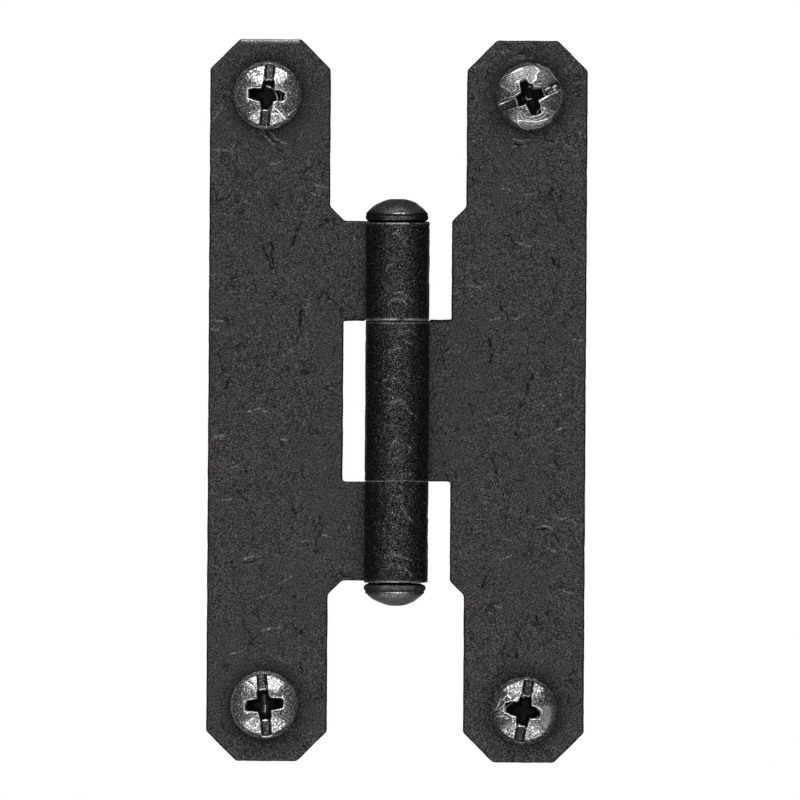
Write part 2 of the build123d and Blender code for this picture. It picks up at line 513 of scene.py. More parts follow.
def grown(piece, tree, settings):
    """The piece's mesh after a tree with these settings, as a plain mesh."""
    modifier = piece.modifiers.new("grown", "NODES")
    modifier.node_group = tree
    for item in tree.interface.items_tree:
        if item.in_out == "INPUT" and item.name in settings:
            modifier[item.identifier] = settings[item.name]
    bpy.context.view_layer.update()
    ready = piece.evaluated_get(bpy.context.evaluated_depsgraph_get())
    mesh = bpy.data.meshes.new_from_object(ready)
    piece.modifiers.remove(modifier)
    piece.data = mesh
    mesh.name = piece.name
    return piece


def forged_grain_group():
    """The skin of black forged iron: fine speckle, broad blotches and short cracks."""
    tree, given = new_tree("forged grain", "ShaderNodeTree", (
        "Vector", "Grain Size", "Blotch Size", "Crack Size"), ("Speckle", "Blotch", "Crack", "Height"))

    def pattern(size, detail, rough, shift=(0, 0, 0)):
        return add(tree, "ShaderNodeTexNoise", {
            "Vector": vectors("ADD", {0: given["Vector"], 1: shift}),
            "Scale": over(1.0, given[size]), "Detail": detail, "Roughness": rough}).outputs

    grain = pattern("Grain Size", 1.0, 0.6)[0]
    blotch = ramp(pattern("Blotch Size", 3.0, 0.6)[0], 0.3, 0.7)
    bent = pattern("Crack Size", 2.0, 0.5, (0.3, 0.1, 0.7))["Color"]
    bend = vectors("SCALE", {0: bent, "Scale": times(given["Crack Size"], 1.3)})
    cells = add(tree, "ShaderNodeTexVoronoi", {
        "Vector": vectors("ADD", {0: given["Vector"], 1: bend}),
        "Scale": over(1.0, given["Crack Size"])}, feature="DISTANCE_TO_EDGE").outputs[0]
    line = minus(1.0, ramp(cells, 0.0, 0.06))
    crack = times(line, ramp(pattern("Crack Size", 1.0, 0.5, (0.9, 0.4, 0.2))[0], 0.54, 0.64))
    height = minus(plus(grain, times(blotch, 0.3)), times(crack, 0.9))
    return give(tree, {
        "Speckle": ramp(grain, 0.46, 0.64), "Blotch": blotch, "Crack": crack, "Height": height})


def edge_wear_group():
    """Where handling has worn an edge bright: an edge value broken up by noise."""
    tree, given = new_tree("edge wear", "ShaderNodeTree", ("Vector", "Edge", "Size", "Amount"), ("Wear",))
    chips = add(tree, "ShaderNodeTexNoise", {
        "Vector": given["Vector"], "Scale": over(1.0, given["Size"]),
        "Detail": 3.0, "Roughness": 0.6}).outputs[0]
    value = times(given["Edge"], times(chips, 2.0))
    low = minus(1.3, given["Amount"])
    return give(tree, {"Wear": ramp(value, low, plus(low, 0.3))})


grain_group = forged_grain_group()
wear_group = edge_wear_group()


def blend(share, first, second):
    """Two colours mixed by a share."""
    return add(share.id_data, "ShaderNodeMix", {0: share, 6: first, 7: second}, data_type="RGBA").outputs[2]


def colour(red, green, blue):
    return (red, green, blue, 1.0)


def grey(tone, green=1.0):
    return colour(tone, tone * green, tone)


def attribute(tree, name):
    return add(tree, "ShaderNodeAttribute", attribute_name=name).outputs["Fac"]


def new_material(name):
    """A material, its tree, its shader and the place on the object."""
    material = bpy.data.materials.new(name)
    material.use_nodes = True
    tree = material.node_tree
    return material, tree, tree.nodes["Principled BSDF"], add(tree, "ShaderNodeTexCoord").outputs["Object"]


def black_iron(name, dull, brighter, bare_and_painted_highlight, green=0.92):
    """Blacked forged iron: the tones of its dull skin, of its high grains and of worn metal
    and painted highlights, and their share of green."""
    material, tree, shader, place = new_material(name)
    grain = add(tree, "ShaderNodeGroup", {
        "Vector": place, "Grain Size": 0.000115, "Blotch Size": 0.009, "Crack Size": 0.0026},
        node_tree=grain_group).outputs
    speckle, rolled = grain["Speckle"], attribute(tree, "rolled")
    # Painted shade from the grain's cracks and from the dark attribute: cracks, lap grooves, joints, plate
    # edges and the buttons' bands
    crack = larger(times(grain["Crack"], 0.6), attribute(tree, "dark"))
    skin = blend(speckle, grey(dull, green), grey(brighter, green))
    skin = blend(times(grain["Blotch"], 0.15), skin, grey(brighter * 0.3, green))
    # The rolled knuckles are made darker all over, less where the grain stands high; added to this is the
    # painted shade round the screw heads
    darker_roll = times(rolled, minus(0.8, times(speckle, 0.75)))
    shade_and_darkening = plus(times(attribute(tree, "screw_shade"), 0.55), darker_roll)
    skin = blend(larger(shade_and_darkening, crack), skin, grey(0.001))
    wear = add(tree, "ShaderNodeGroup", {
        "Vector": place, "Edge": attribute(tree, "rim"), "Size": 0.0016, "Amount": 0.2},
        node_tree=wear_group).outputs[0]
    # Painted highlights on laps, joints, the left leaf's top edge and the buttons' lips, together with the
    # worn edges
    highlight_spots = times(attribute(tree, "bare_and_painted_highlight"), plus(speckle, 0.3))
    bright = sums("MINIMUM", larger(wear, highlight_spots), 1.0)
    skin = blend(times(bright, 0.8), skin, colour(bare_and_painted_highlight, bare_and_painted_highlight * 0.97, bare_and_painted_highlight * 0.97))
    # Painted glints: pale specks on the rolled knuckles
    glint_specks = add(tree, "ShaderNodeTexNoise", {"Vector": place, "Scale": 8500.0, "Detail": 0.0}).outputs[0]
    glint_specks = times(ramp(glint_specks, 0.72, 0.78, kind="LINEAR"), rolled)
    skin = blend(glint_specks, skin, colour(0.3, 0.29, 0.3))
    lumps = add(tree, "ShaderNodeTexNoise", {
        "Vector": place, "Scale": 3200.0, "Detail": 2.0, "Distortion": 0.6}).outputs[0]
    lumps = times(lumps, plus(rolled, 0.05))
    height = plus(minus(grain["Height"], crack), times(lumps, 3.2))
    relief = add(tree, "ShaderNodeBump", {"Strength": 1.0, "Distance": 0.00002, "Height": height}).outputs[0]
    dry = minus(crack, times(speckle, 0.4))
    fill(tree, shader, {
        "Base Color": skin, "Metallic": 0.95, "Specular IOR Level": 0.2, "Specular Tint": grey(1.0, green),
        "Roughness": ramp(dry, -0.4, 1.0, 0.4, 0.9, "LINEAR"), "Normal": relief})
    return material


leaf_tree = rolled_leaf_tree()
leaf_iron = black_iron("leaf iron", 0.014, 0.093, 0.38)
# Laps and cracks of each leaf as seen from the room: across and up, in millimetres
left_marks = (
    ("plate", "fold", [
        [(-21.9, 36.2), (-21.7, 35.9), (-22.5, 34.8), (-22.9, 34.6)],
        [(-16, 33.2), (-15.1, 32.1), (-13.9, 31.5)], [(-16.6, 32.7), (-15.9, 31.9), (-15.1, 31.2)],
        [(-14.1, 29.6), (-15.1, 29), (-15.8, 29)], [(-22.7, 30.7), (-20.7, 30.7), (-20.1, 31.3)],
        [(-10.3, 26.5), (-8.8, 26.1)], [(-10.7, 25.5), (-9.7, 25.1)], [(-17.4, 25.6), (-16.9, 25.2)],
        [(-5.4, 20.1), (-5.3, 19.2)], [(-4.7, 19.2), (-4.6, 18.8)], [(-5.8, 18.4), (-5.8, 17.6)],
        [(-11.2, 12.3), (-10.7, 11.7), (-11.4, 11.3)], [(-14.1, 5.4), (-12.6, 6.6)],
        [(-22.9, 9.7), (-21.5, 9.7)], [(-22.8, 8.6), (-21.9, 8.5)], [(-22.9, 15.3), (-21.5, 15.5)],
        [(-22.4, -4.6), (-21.1, -4.4)], [(-22.7, -4.9), (-21.8, -4.4), (-21.2, -4.5)],
        [(-14.8, -4.6), (-13.5, -5)], [(-21.4, -12.3), (-20.4, -12.3)], [(-5.8, -15.1), (-5.8, -15.7)],
        [(-11.9, -17.6), (-11.1, -17.2), (-10.2, -17.4)], [(-9.1, -16.6), (-8, -16.8)],
        [(-18.9, -19.7), (-17.8, -19.2), (-16.6, -19.3)], [(-14.3, -22.6), (-12.8, -21.7)],
        [(-17.2, -24.5), (-15.3, -23.9)], [(-16.4, -28.4), (-15.2, -28.1), (-14.1, -28.1)],
        [(-21.1, -8.6), (-19.8, -8.1), (-18.9, -8.6)], [(-20, 24), (-18.7, 24.4)],
        [(-18.4, -1.5), (-17, -1.1), (-16.1, -1.5)], [(-20.4, -31.4), (-18.9, -30.9)]]),
    ("plate", "crack", [
        [(-16.4, 33), (-15.6, 32.1), (-14.9, 31.5)], [(-15.1, 31.1), (-14.2, 30.4), (-14.1, 29.6)],
        [(-9, 28.9), (-9.4, 27.4)], [(-17, 20.1), (-16.6, 18.6), (-16.1, 17.7), (-15.5, 16.1)],
        [(-15.6, 19.6), (-15.4, 18.6), (-15.5, 17.7), (-15.3, 16.3)],
        [(-11.9, 22), (-12.4, 20.9), (-12.8, 19.7), (-13.1, 18.8)], [(-11.9, 10.9), (-12, 9)],
        [(-17.3, 5.6), (-17.1, 4.1)], [(-20.8, 14), (-20.4, 14.8), (-19.7, 15.2)],
        [(-19.6, -11.2), (-18.4, -12.4)], [(-11.7, -18), (-10.8, -17.8)], [(-18.7, -20.2), (-17.3, -19.8)],
        [(-17, -25.5), (-16.8, -27.2)], [(-11.1, -27.9), (-11.7, -28.7)], [(-12.4, -24), (-12.8, -24.6)],
        [(-12.9, -12.9), (-12.5, -14)], [(-20.6, 2.8), (-21.1, 1.3)], [(-11.8, -32.2), (-11.4, -33.4)]]),
    ("knuckle", "fold", [
        [(-0.5, 13.2), (0.2, 13.4), (0.9, 13.1), (1.8, 12.3)],
        [(-1.1, 12.1), (-0.5, 12.4), (-0.1, 12.5), (0.6, 12.4), (1.2, 11.8)],
        [(-1.4, 16.2), (-1.1, 16.7), (-0.4, 16.8)], [(-0.9, 20.5), (-0.3, 20.7), (0.5, 20.2)],
        [(0.6, 19.8), (1.2, 19.1), (2.1, 18.8)], [(-1.9, 14.4), (-1.2, 13.8)],
        [(-2.6, 12.2), (-2.1, 11.7)], [(-1.5, -19.4), (-1, -18.9), (0, -19), (1.1, -19.4), (2, -19.6)],
        [(0.3, -20.3), (1.5, -20.9), (2, -21.5)], [(0.7, -12.8), (1.2, -14.1), (1.8, -14.7)],
        [(-0.3, -15.5), (0.2, -15.7)], [(-0.6, -18.1), (-0.1, -17.5)], [(-1, -20.6), (-0.5, -20.1)],
        [(0.3, -11.8), (0.9, -11.5)]]),
    ("knuckle", "crack", [
        [(-0.2, 17.8), (0.1, 18.4)], [(-1.3, 18.9), (-1.2, 18.4)], [(0.1, 14.9), (1, 14.4)],
        [(0.6, -19.8), (1, -20.4)], [(-1.4, -14.8), (-1, -15.9)]]),
)
right_marks = (
    ("plate", "fold", [
        [(14.5, 19.6), (15.7, 19.2), (16.4, 19.1)], [(18.7, 19.4), (19.4, 18.9)],
        [(15.8, 25.4), (16.9, 25.6)], [(11.4, 10), (12.7, 10.3)],
        [(13.7, 10.4), (14.6, 10.1), (15.4, 10.7)], [(20, 0.9), (20.1, 0.7)], [(16.9, 0.2), (18.1, -0.5)],
        [(8.1, 14.3), (8.9, 14.2), (10.1, 14)], [(7, 13.2), (7.5, 13.5)], [(21.8, 7.7), (22.7, 7.6)],
        [(16.5, -14.1), (17, -14.2)], [(10.4, -12.5), (11.2, -12.4), (11.7, -12.8)],
        [(17.4, -15.4), (18.5, -15.2), (19.3, -15.8)], [(20, -14.5), (21.4, -14.1), (22.1, -15.2)],
        [(18.4, -17.9), (19.7, -18.4), (21, -18.2)], [(12.2, -25.1), (12.9, -25.4)],
        [(11.5, -26), (11.8, -26.1)], [(12.6, 43.1), (13.1, 42.7), (13.3, 43)], [(22.4, 33.4), (22.3, 33)],
        [(14.1, 32.3), (15.1, 32), (16.1, 32.3)], [(14.5, 31.3), (15.6, 31.4)],
        [(13.4, 42), (14.3, 42.2), (16.2, 42.3)], [(20.4, 31.6), (21.5, 31), (22, 30.2)],
        [(9.2, 32), (9.4, 31.9)], [(12.5, 26.3), (13.9, 26)], [(11.2, -2.3), (12.5, -1.8), (13.5, -2.1)],
        [(19.6, -3.5), (20.8, -3.1)], [(12.8, -19.5), (14.2, -19)], [(20.2, -23.1), (21.7, -23.6)],
        [(15.3, -34.2), (16.7, -33.9)]]),
    ("plate", "crack", [
        [(19, 19.2), (19.7, 18.7)], [(19, 17.7), (19.3, 16.8)], [(17.1, 21.8), (16.9, 20.7)],
        [(16, 20.1), (16.8, 20.3)], [(11.3, 7.7), (11.4, 6.7), (11.7, 6), (11.5, 4.8)],
        [(16.7, 3.4), (16.4, 2.4)], [(16, 2.2), (16.1, 1.1)], [(18.6, 3.4), (18.7, 2.2)],
        [(21.3, 19.8), (21.7, 18.7)], [(11.6, -6.9), (12, -7.7), (12.4, -9.2)],
        [(19.2, -6.8), (19.8, -7.7), (20.1, -8.4)], [(14.5, -3.8), (14.9, -4.7)],
        [(16.2, -12.8), (16.1, -13.9)], [(15.2, -14.3), (15.3, -14.9)], [(13.3, -13.9), (13.6, -14.9)],
        [(17.4, -15.7), (18.5, -15.6)], [(14.7, -28.2), (15.4, -29.4)], [(17.3, -26.3), (17.5, -27.5)],
        [(14.8, -30.5), (15, -31.6)], [(22.1, 37.8), (22.2, 37.5)], [(10.1, 29), (9.9, 28.1)],
        [(14.3, 31.8), (15.1, 31.5), (16, 31.8)], [(14.8, 42.8), (15.7, 42.9)],
        [(20.1, 26.1), (19.9, 24.5)], [(8.9, -0.3), (9.4, -1.6)], [(11.1, -21.4), (10.6, -23)]]),
    ("knuckle", "fold", [
        [(0, 8.5), (1.5, 8.7), (2.4, 8.1)], [(0.7, 7.4), (2, 7)], [(1.1, -0.8), (1.7, -1.5), (2.4, -1.9)],
        [(-0.9, -0.4), (0.2, 0.1), (0.8, -0.1)], [(-0.4, -7.2), (0.3, -7)], [(-0.7, -5.8), (0.1, -4.4)],
        [(0.3, -9.2), (2, -8.9)], [(-1.7, 2.4), (-0.8, 2.9), (0.1, 2.6)], [(-1.4, -2.9), (-0.4, -3.2)],
        [(1.1, -5.3), (1.8, -5.9)], [(-0.7, 6.1), (0.2, 6.5)]]),
    ("knuckle", "crack", [
        [(-1.4, 5), (-1.7, 3.5)], [(0.8, 5.4), (1.4, 4.4)], [(0.1, 1.6), (0.6, 1)]]),
)
# How far each leaf's knuckles end from the middle of a joint
left_end, right_end = half_middle + 0.076, half_middle + 0.064
leaves = (
    ("left_leaf", "frame_side", -1, [(left_end, half_barrel), (-half_barrel, -left_end)], left_marks),
    ("right_leaf", "door_side", 1, [(-right_end, right_end)], right_marks),
)
for number, (node, body, side, knuckles, marks) in enumerate(leaves):
    spots = [(hole_x, hole_z), (hole_x, -hole_z)]
    piece = flat_blank("forged_" + node, side, knuckles, spots, marks, 11 + number)
    grown(piece, leaf_tree, {
        "Side": float(side), "Knuckle Radius": knuckle_radius * MM,
        "Dent Size": 0.0065, "Dent Depth": 0.00018, "Wrinkle Size": 0.0038, "Wrinkle Depth": 0.000032,
        "Pit Size": 0.0009, "Pit Depth": 0.00003, "Seed": 3.0 + 4.0 * number, "Material": leaf_iron})
    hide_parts(node)
    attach(piece, body)

# The pin and its two buttons.
# A round iron rod with a domed button forged on its upper end. The lower button
# is bored and pressed on a spigot. Black as the leaves, a little smoother.
button_seat = 22.15


def turned(outline, axis_y, segments):
    """A closed solid turned about an upright axis, from radius and height pairs."""
    points, faces = [], []
    for radius, z in outline:
        for i in range(segments):
            angle = 2 * math.pi * i / segments
            points.append((radius * math.cos(angle), axis_y + radius * math.sin(angle), z))
    for a in range(0, (len(outline) - 1) * segments, segments):
        b = a + segments
        faces += [(a + i, a + (i + 1) % segments, b + (i + 1) % segments, b + i) for i in range(segments)]
    faces.append(tuple(range(segments)))
    faces.append(tuple(range(len(points) - segments, len(points))))
    return np.array(points), faces


def rise(value, low, high):
    """A soft rise from nought to one while the value runs from low to high."""
    share = unit((value - low) / (high - low))
    return share * share * (3 - 2 * share)


def button_outline(seat, up, stretch, narrow, crown, flat):
    """Radius and height from the seat to the crown of one button, its band stretched
    and drawn in towards the lip."""
    side = [(3.28, 0.0), (3.42, 0.05), (3.6, 0.14), (3.74, 0.24), (3.82, 0.34), (3.86, 0.44),
            (3.87, 0.52), (3.865, 0.6), (3.85, 0.66), (3.81, 0.71), (3.79, 0.76), (3.80, 0.81),
            (3.84, 0.85), (3.855, 0.88), (3.835, 0.93)]
    side = [(radius - narrow * rise(height, 0.3, 0.9), height * stretch) for radius, height in side]
    foot = side[-1][0] - 0.035
    drop = crown + flat - side[-1][1]
    ball = (foot ** 2 + drop ** 2) / (2 * drop)
    base = crown + flat - ball
    for tilt in np.linspace(math.asin((foot - 0.06) / ball), 0.0, 30)[:-1]:
        side.append((ball * math.sin(tilt), min(base + ball * math.cos(tilt), crown)))
    side.append((0.06, crown))
    return [(radius, seat + up * height) for radius, height in side]


def hammered_tree():
    """The hammered skin on a piece that needs no rolling."""
    tree, given = new_tree("hammered piece", "GeometryNodeTree", (
        "Geometry", *skin_inputs, "Material"), ("Geometry",))
    normal = add(tree, "GeometryNodeInputNormal").outputs[0]
    inwards = times(pressed_in(tree, given), -1.0)
    moved = add(tree, "GeometryNodeSetPosition", {
        "Geometry": given["Geometry"],
        "Offset": vectors("SCALE", {0: normal, "Scale": inwards})}).outputs[0]
    return finish_tree(tree, moved, given["Material"])


hammered = hammered_tree()
rod = [(0.3, -23.95), (1.1, -23.95), (1.2, -23.85), (1.2, -22.45), (1.9, -22.45), (2.0, -22.35), (2.0, 22.15)]
upper = rod + button_outline(button_seat - 0.18, 1, 1.2, 0.02, 2.88, 0.1)
lower = [(1.21, -22.405), (3.2, -22.405)] + button_outline(-button_seat - 0.3, -1, 1.27, 0.2, 2.78, 0.02)
lower = [(0.2, -24.05), (1.21, -24.05)] + lower
# Each piece with its outline, seat and stretch, the painted shade on its band, its seed, its two
# tones and its share of green
buttons = (("hinge_pin", upper, -0.18, 1.2, 0.3, 1.0, 0.028, 0.2, 1.0),
           ("lower_pin_button", lower, 0.3, 1.27, 0.7, 6.0, 0.11, 0.62, 0.95))
for node, outline, seat, stretch, band_shade, seed, dull, brighter, green in buttons:
    points, faces = turned(outline, -knuckle_radius, 128)
    across, out, up = points.T
    radii = np.hypot(across, out + knuckle_radius)
    above_seat = (np.abs(up) - button_seat - seat) / stretch
    # The skin is hammered outside the rod and on the middles of the two crowns
    on_button = (radii > 2.1) | (np.abs(up) > 24.4)
    band = (radii > 3.1) & (out < -knuckle_radius)
    # Painted highlight along the lip above the band
    lip = bell(above_seat - 0.92, 0.05) * bell(across - 0.35, 0.6) * band
    lip *= unit(0.7 + 1.6 * rumple(np.column_stack((across, up)), 0.22, seed))
    # Painted shade on the band: darkest by the seat and just under the lip, and at both sides
    shade_and_darkening = np.where(above_seat < 0.2, 0.95, np.where(above_seat < 0.66, band_shade, 0.85)) * (above_seat < 0.86)
    beside = unit((np.abs(across - 0.2) - 1.0) / 1.3) * unit((1.4 - above_seat) / 0.4)
    shade_and_darkening = np.maximum(shade_and_darkening, 0.85 * beside)
    values = {"seen": on_button * np.clip((3.9 - radii) / 0.3, 0.1, 1), "bare_and_painted_highlight": 3.0 * lip,
              "dark": shade_and_darkening * (radii > 3.1)}
    values.update({key: np.zeros(len(points)) for key in ("screw_shade", "rolled", "pressed", "rim")})
    # The buttons sit a little to the left of the barrel's middle
    points[:, 0] -= 0.14 * unit((radii - 2.2) / 0.5) * (np.abs(up) > 22.0)
    piece = mesh_object("forged_" + node, points, faces, values)
    grown(piece, hammered, {
        "Dent Size": 0.003, "Dent Depth": 0.00008, "Wrinkle Size": 0.002, "Wrinkle Depth": 0.00004,
        "Pit Size": 0.0009, "Pit Depth": 0.00004, "Seed": seed,
        "Material": black_iron(node + " iron", dull, brighter, 0.85, green)})
    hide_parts(node)
    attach(piece, "frame_side")

# The four wood screws.
# Dark steel, pan head with a slot and a cross recess, driven home and chewed by
# the driver: bright bruised edges, burrs and galling, different on each head. The bright edges
# are partly painted highlight, and the slot and cross are painted dark as shade.
head_radius, head_height, rim_height = 4.175, 2.6, 1.1
slot_half, slot_reach, slot_floor = 0.69, 3.9, 1.4
wing_half, wing_reach, cross_depth = 1.0, 2.42, 2.15
dome_ball = (head_radius ** 2 + (head_height - rim_height) ** 2) / (2 * (head_height - rim_height))


def dome_height(radius):
    """A ball's crown that falls faster near the rim."""
    ball = head_height - dome_ball + np.sqrt(dome_ball ** 2 - np.minimum(radius, head_radius) ** 2)
    return ball - 0.9 * unit(radius - 3.65) ** 1.5


def head_surface(points, turn, seed, bites, strokes, patches):
    """Height above the underside, brightness of worn metal and painted highlight, share of the recess,
    which is painted dark, and share of smeared metal, at points of the head as seen from the room."""
    slot_way = np.array((math.sin(math.radians(turn)), math.cos(math.radians(turn))))
    wing_way = np.array((slot_way[1], -slot_way[0]))
    v, u = points @ slot_way, points @ wing_way
    r = np.hypot(u, v)
    wobble = rumple(points, 0.9, seed) * 0.12 + rumple(points, 0.3, seed + 5) * 0.06
    dome = dome_height(r)
    bite = np.zeros(len(points))
    for place, size, deep in bites:
        bite += deep * bell(np.hypot(*(points - np.array(place)).T), size)

    across = np.abs(u) - slot_half + wobble * 0.6
    floor = slot_floor - 0.5 * (v / slot_reach) ** 2 + rumple(points, 0.5, seed + 9) * 0.04
    slot_share = unit(-across / 0.33) * unit((slot_reach - r) / 0.12)
    slotted = dome - slot_share * np.maximum(dome - floor, 0)

    def wing(lengthwise, crosswise):
        """Depth of one pair of wings, and how far inside its outline each point is."""
        half_width = wing_half - 0.16 * np.clip(np.abs(lengthwise), 0, 2.45)
        side = half_width - np.abs(crosswise) - wobble + bite
        end = wing_reach - np.abs(lengthwise) - wobble + bite
        return np.minimum(side * 4.5, end * 1.9), np.minimum(side, end)

    (deep_one, in_one), (deep_two, in_two) = wing(u, v), wing(v, u)
    deep = np.clip(np.maximum(deep_one, deep_two), 0, cross_depth) + 0.3 * unit(1 - r / 1.1)
    crossed = np.where(np.maximum(in_one, in_two) > 0, dome - deep, dome + 1)
    crossed = np.maximum(crossed, 0.25)
    surface = np.minimum(slotted, crossed)

    # Painted shade in the recess: the slot's walls and the cross darkest, the slot's floor a little lighter
    recess_floor = 0.78 * rise(slot_share, 0.6, 0.98)
    in_cross = np.where(slot_share > 0.05, np.clip((slotted - crossed) / 1.9, -1, 1),
                        np.maximum(in_one, in_two))
    recess = np.maximum(rise(in_cross, -0.01, 0.14), rise(slot_share, 0.0, 0.4) * 0.85 * (slot_share < 0.98))
    recess = np.maximum(recess, recess_floor)
    patchy = np.clip(0.8 + 1.3 * rumple(points, 0.5, seed + 20), 0.1, 1.2)
    # Bright bruised metal with painted highlight along the cross's lip and the slot's edges
    lip = bell(in_cross + 0.02, 0.06) * 0.8
    slot_lip = bell(across, 0.04) * (in_cross < 0) * (r < slot_reach) * 0.35
    shine = unit(np.maximum(lip, slot_lip) * patchy)
    shaken = points + 0.05 * np.column_stack((rumple(points, 0.35, seed + 1), rumple(points, 0.35, seed + 2)))
    smear = np.zeros(len(points))
    for corners, tone, outline in patches:
        within = inside(shaken, sides(corners))
        smear = np.where(within, tone, smear)
        if tone < 0:
            continue
        surface = np.where(within, np.maximum(surface, dome - 0.03), surface)
        recess = np.where(within, 0, recess)
        # Painted highlight along the outline of a smeared patch
        edge = bell(stroke_distance(shaken, corners + corners[:1]), 0.055)
        shine = np.maximum(np.where(within, 0, shine), outline * patchy * edge)
    for line, width, lift, bright in strokes:
        touch = bell(stroke_distance(shaken, line), width)
        surface = surface + lift * touch
        shine = np.maximum(shine, bright * touch) if bright >= 0 else shine * (1 + bright * touch)
        if lift > 0.05:
            recess = recess * (1 - touch)
    return surface, unit(shine), recess, smear


def screw_head(turn, seed, tone, bites, strokes, patches):
    """The head as one closed mesh, centre at zero, underside at height zero."""
    around = 200
    circle = np.linspace(0, 2 * math.pi, around, endpoint=False)
    spokes = np.column_stack((np.cos(circle), np.sin(circle)))
    edge = head_radius - 0.1
    within = lattice((-head_radius, -head_radius), (head_radius, head_radius), 0.062)
    within = within[np.hypot(*within.T) < edge - 0.05]
    top, faces, rim = triangles([edge * spokes], within)
    height, shine, recess, smear = head_surface(top, turn, seed, bites, strokes, patches)
    points = [np.column_stack((top[:, 0], top[:, 1], height))]
    shines = [shine]
    rings, count = [rim], len(top)
    faces = [tuple(f) for f in faces]
    edge_height = float(dome_height(edge))
    rim_line = ((4.13, edge_height - 0.04), (4.165, edge_height - 0.1), (4.175, edge_height - 0.18),
                (4.175, 0.5), (4.175, 0.12), (4.14, 0.03), (4.05, 0.0), (3.0, 0.0), (1.5, 0.0), (0.5, 0.0))
    nicks = rumple(spokes * 4.0, 0.8, seed + 30)
    for radius, level in rim_line:
        wavy = radius + nicks * 0.02 - 0.02 if radius > 4.0 else np.full(around, radius)
        points.append(np.column_stack((spokes * wavy[:, None], np.full(around, level))))
        rings.append(list(range(count, count + around)))
        shines.append(np.clip(nicks * 1.5, 0, 0.6) if level > 0.75 else np.zeros(around))
        count += around
    for a, b in zip(rings, rings[1:]):
        faces += [(a[i], a[(i + 1) % around], b[(i + 1) % around], b[i]) for i in range(around)]
    faces.append(tuple(rings[-1]))
    below = np.zeros(count - len(top))
    return np.vstack(points), faces, {
        "shine": np.concatenate(shines), "recess": np.append(recess, below),
        "smear": np.append(smear, below), "tone": np.full(count, tone)}


def thread_tree():
    """Joins the head to a shank with a wood screw's thread cut in it."""
    tree, given = new_tree("wood screw thread", "GeometryNodeTree", (
        "Geometry", "Thread Radius", "Core Radius", "Neck Radius", "Pitch", "Neck Length", "Length",
        "Point Length", "Start Depth", "Around", "Rows", "Centre", "Material"), ("Geometry",))
    grid = add(tree, "GeometryNodeMeshGrid", {
        "Size X": 1.0, "Size Y": 1.0, "Vertices X": given["Rows"], "Vertices Y": given["Around"]})
    spot = add(tree, "ShaderNodeSeparateXYZ", {0: add(tree, "GeometryNodeInputPosition").outputs[0]})
    down, turn = (plus(spot.outputs[number], 0.5) for number in (0, 1))
    reach = times(down, given["Length"])
    phase = sums("FRACT", minus(over(reach, given["Pitch"]), turn))
    near = sums("ABSOLUTE", minus(phase, 0.5))
    ridge = ramp(near, 0.03, 0.24, 1.0, 0.0, "LINEAR")
    cut_from = given["Neck Length"]
    on_thread = ramp(reach, cut_from, plus(cut_from, given["Pitch"]), kind="LINEAR")
    core = minus(given["Core Radius"], given["Neck Radius"])
    core = plus(given["Neck Radius"], times(on_thread, core))
    tall = minus(given["Thread Radius"], given["Core Radius"])
    tall = times(times(ridge, on_thread), tall)
    left = over(minus(given["Length"], reach), given["Point Length"])
    narrow = sums("POWER", sums("MINIMUM", larger(left, 0.0), 1.0), 0.8)
    radius = times(plus(core, tall), narrow)
    angle = times(turn, 2 * math.pi)
    place = add(tree, "ShaderNodeCombineXYZ", {
        0: times(sums("COSINE", angle), radius), 1: plus(reach, given["Start Depth"]),
        2: times(sums("SINE", angle), radius)}).outputs[0]
    shaped = add(tree, "GeometryNodeSetPosition", {
        "Geometry": grid.outputs[0], "Position": vectors("ADD", {0: place, 1: given["Centre"]})})
    closed = add(tree, "GeometryNodeMergeByDistance", {"Geometry": shaped.outputs[0], "Distance": 0.000002})
    turned_out = add(tree, "GeometryNodeFlipFaces", {"Mesh": closed.outputs[0]})
    joined = tree.nodes.new("GeometryNodeJoinGeometry")
    tree.links.new(turned_out.outputs[0], joined.inputs[0])
    tree.links.new(given["Geometry"], joined.inputs[0])
    return finish_tree(tree, joined.outputs[0], given["Material"])


